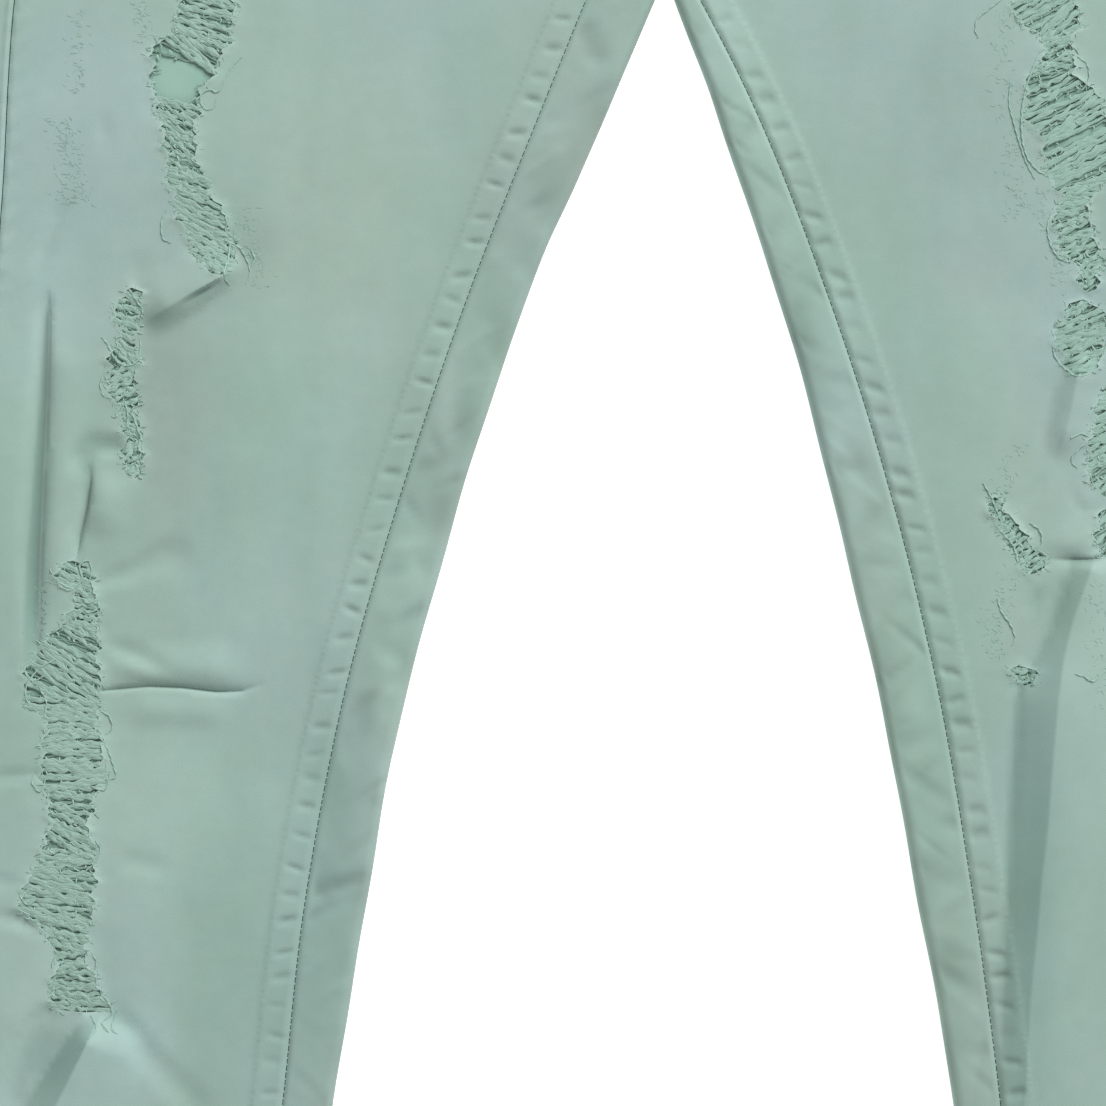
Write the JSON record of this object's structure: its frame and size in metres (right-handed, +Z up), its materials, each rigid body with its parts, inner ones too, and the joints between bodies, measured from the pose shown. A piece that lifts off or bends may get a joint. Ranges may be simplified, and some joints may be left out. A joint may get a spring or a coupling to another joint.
{
  "type": "ripped jeans",
  "caption": "Pair of ripped denim jeans laid flat with the front up: tapered legs, torn thighs and knees over backing cloth, waistband, fly and pockets.",
  "frame": {"origin": "middle of the underside, on the surface that the jeans lie on", "axes": "+Y from the hems to the waist, +Z up out of the front, +X towards the wearer's left leg"},
  "size_m": [0.6692, 1.085, 0.0139],
  "materials": {
    "denim": "washed mint cotton twill, matt, with faint cloudy fading",
    "backing": "smooth lighter cotton behind the rips, matt",
    "metal": "dull nickel"
  },
  "bodies": {
    "root": {"front_right": "denim", "front_left": "denim", "back_right": "denim", "back_left": "denim", "yoke_right": "denim", "yoke_left": "denim", "backing_right_thigh": "backing", "backing_right_knee": "backing", "backing_left": "backing", "pocket_facing_right": "denim", "pocket_facing_left": "denim", "back_pocket_right": "denim", "back_pocket_left": "denim", "hem_right": "denim", "hem_left": "denim", "waistband": "denim", "belt_loop_front_right": "denim", "belt_loop_front_left": "denim", "belt_loop_back_right": "denim", "belt_loop_back_centre": "denim", "belt_loop_back_left": "denim", "fly_zip": "metal", "button": "metal"}
  },
  "joints": []
}
